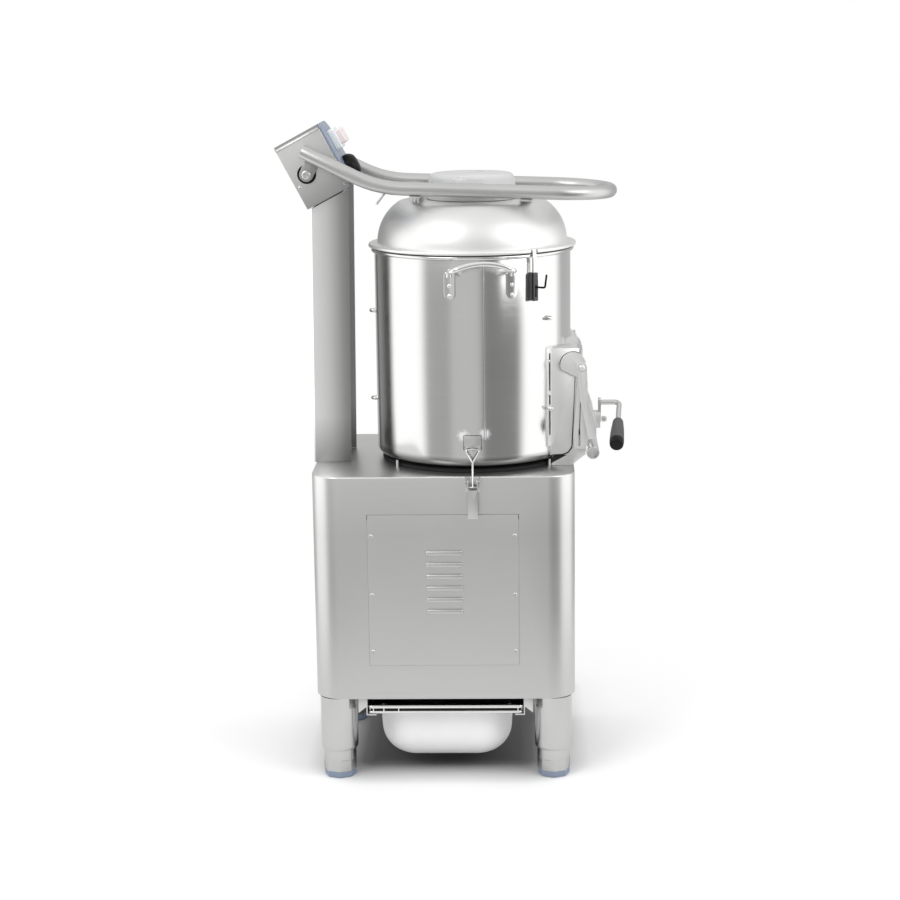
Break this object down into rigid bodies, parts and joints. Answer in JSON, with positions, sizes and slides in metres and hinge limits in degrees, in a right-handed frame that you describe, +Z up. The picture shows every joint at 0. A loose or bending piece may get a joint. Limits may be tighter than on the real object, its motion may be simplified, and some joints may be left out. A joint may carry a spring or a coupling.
{
  "type": "electric potato peeler",
  "caption": "Floor-standing stainless potato peeler: a drum with a spinning abrasive disc on a cabinet, a lid on a hinged tube lever, a clamped side door, a timer head and a waste drawer.",
  "frame": {"origin": "centre of the overall box at floor level", "axes": "+Z up, -Y towards the side with the service panel, +X towards the discharge door"},
  "size_m": [0.5536, 0.4022, 1.0531],
  "materials": {
    "brushed_stainless": "brushed along the sheet",
    "polished_stainless": "polished stainless",
    "satin_stainless": "satin",
    "rubber": "matt black",
    "black_plastic": "fine matt",
    "white_plastic": "semi-gloss",
    "clear_plastic": "clear, slightly frosted",
    "panel_film": "blue-grey film",
    "red_button": "semi-gloss",
    "green_button": "semi-gloss",
    "abrasive": "rough grit coating",
    "painted_motor": "enamel",
    "cast_metal": "machined casting"
  },
  "bodies": {
    "cabinet": {"cabinet_shell": "brushed_stainless", "base_with_sleeves": "brushed_stainless", "service_panel": "brushed_stainless", "drawer_rail_left": "satin_stainless", "drawer_rail_right": "satin_stainless", "column_channel": "brushed_stainless", "column_cover": "satin_stainless", "control_box": "brushed_stainless", "control_panel": "panel_film", "switch_block": "white_plastic", "lever_bearing": "black_plastic", "drum_shell": "polished_stainless", "drum_gasket": "rubber", "abrasive_liner": "abrasive", "side_handle_front": "polished_stainless", "side_handle_rear": "polished_stainless", "drum_keeper_front": "polished_stainless", "drum_keeper_rear": "polished_stainless", "toggle_base_front": "polished_stainless", "toggle_base_rear": "polished_stainless", "lid_bolt_housing": "black_plastic", "discharge_chute": "brushed_stainless", "door_bracket_front": "brushed_stainless", "door_bracket_rear": "brushed_stainless", "discharge_spout": "satin_stainless", "bearing_housing": "cast_metal", "motor": "painted_motor", "motor_plate": "satin_stainless", "drive_belt": "rubber", "waste_pipe": "black_plastic"},
    "foot_1_body": {"foot_1": "brushed_stainless"},
    "foot_2_body": {"foot_2": "brushed_stainless"},
    "foot_3_body": {"foot_3": "brushed_stainless"},
    "foot_4_body": {"foot_4": "brushed_stainless"},
    "filter_drawer": {"drawer_frame": "brushed_stainless", "filter_screen": "brushed_stainless", "waste_pan": "white_plastic"},
    "lid": {"lever_tube": "brushed_stainless", "pivot_shaft": "polished_stainless", "lid_bar_front": "brushed_stainless", "lid_bar_rear": "brushed_stainless", "lid_dome": "brushed_stainless", "clear_cover": "clear_plastic"},
    "lid_bolt": {"lid_bolt_tongue": "satin_stainless"},
    "door": {"door_panel": "polished_stainless", "door_yoke": "brushed_stainless"},
    "crank": {"crank_handle": "polished_stainless", "crank_grip": "black_plastic"},
    "toggle_front": {"toggle_lever_front": "polished_stainless"},
    "toggle_rear": {"toggle_lever_rear": "polished_stainless"},
    "bail_front": {"toggle_bail_front": "polished_stainless"},
    "bail_rear": {"toggle_bail_rear": "polished_stainless"},
    "disc": {"abrasive_disc": "abrasive", "spindle": "polished_stainless", "driven_pulley": "cast_metal"},
    "motor_rotor": {"motor_pulley": "cast_metal"},
    "timer_dial": {"timer_knob": "black_plastic"},
    "stop_key": {"stop_button": "red_button"},
    "start_key": {"start_button": "green_button"}
  },
  "joints": [
    {"name": "foot_1_screw", "type": "slide", "parent": "cabinet", "child": "foot_1_body", "axis": [0, 0, 1], "range_m": [-0.025, 0]},
    {"name": "foot_2_screw", "type": "slide", "parent": "cabinet", "child": "foot_2_body", "axis": [0, 0, 1], "range_m": [-0.025, 0]},
    {"name": "foot_3_screw", "type": "slide", "parent": "cabinet", "child": "foot_3_body", "axis": [0, 0, 1], "range_m": [-0.025, 0]},
    {"name": "foot_4_screw", "type": "slide", "parent": "cabinet", "child": "foot_4_body", "axis": [0, 0, 1], "range_m": [-0.025, 0]},
    {"name": "drawer_slide", "type": "slide", "parent": "cabinet", "child": "filter_drawer", "axis": [0, -1, 0], "range_m": [0, 0.27]},
    {"name": "lid_hinge", "type": "hinge", "parent": "cabinet", "child": "lid", "pos_m": [-0.22582, 0, 0.9736], "axis": [0, -1, 0], "range_deg": [0, 105]},
    {"name": "lid_bolt_slide", "type": "slide", "parent": "cabinet", "child": "lid_bolt", "axis": [0, 0, -1], "range_m": [0, 0.012]},
    {"name": "door_hinge", "type": "hinge", "parent": "cabinet", "child": "door", "pos_m": [0.20798, 0, 0.6651], "axis": [0, -1, 0], "range_deg": [0, 100]},
    {"name": "crank_turn", "type": "hinge", "parent": "door", "child": "crank", "pos_m": [0.24238, 0, 0.562], "axis": [1, 0, 0], "range_deg": [0, 180]},
    {"name": "toggle_front_hinge", "type": "hinge", "parent": "cabinet", "child": "toggle_front", "pos_m": [0.03368, -0.18725, 0.4985], "axis": [-1, 0, 0], "range_deg": [0, 100]},
    {"name": "bail_front_hinge", "type": "hinge", "parent": "toggle_front", "child": "bail_front", "pos_m": [0.03368, -0.18725, 0.489], "axis": [-1, 0, 0], "range_deg": [-95, 0]},
    {"name": "toggle_rear_hinge", "type": "hinge", "parent": "cabinet", "child": "toggle_rear", "pos_m": [0.03368, 0.18725, 0.4985], "axis": [1, 0, 0], "range_deg": [0, 100]},
    {"name": "bail_rear_hinge", "type": "hinge", "parent": "toggle_rear", "child": "bail_rear", "pos_m": [0.03368, 0.18725, 0.489], "axis": [1, 0, 0], "range_deg": [-95, 0]},
    {"name": "disc_spin", "type": "hinge", "parent": "cabinet", "child": "disc", "pos_m": [0.03368, 0, 0.534], "axis": [0, 0, 1], "continuous": true},
    {"name": "motor_spin", "type": "hinge", "parent": "cabinet", "child": "motor_rotor", "pos_m": [-0.09422, 0, 0.4], "axis": [0, 0, 1], "continuous": true},
    {"name": "timer_turn", "type": "hinge", "parent": "cabinet", "child": "timer_dial", "pos_m": [-0.16515, 0, 0.97943], "axis": [-0.8829, 0, -0.4695], "range_deg": [0, 300]},
    {"name": "stop_press", "type": "slide", "parent": "cabinet", "child": "stop_key", "axis": [-0.8829, 0, -0.4695], "range_m": [0, 0.0025], "stiffness_N_per_m": 400, "springref_m": -0.002},
    {"name": "start_press", "type": "slide", "parent": "cabinet", "child": "start_key", "axis": [-0.8829, 0, -0.4695], "range_m": [0, 0.0025], "stiffness_N_per_m": 400, "springref_m": -0.002}
  ],
  "couplings": [
    {"joint": "bail_front_hinge", "follows": "toggle_front_hinge", "ratio": -0.95},
    {"joint": "bail_rear_hinge", "follows": "toggle_rear_hinge", "ratio": -0.95},
    {"joint": "motor_spin", "follows": "disc_spin", "ratio": 2.6923}
  ]
}
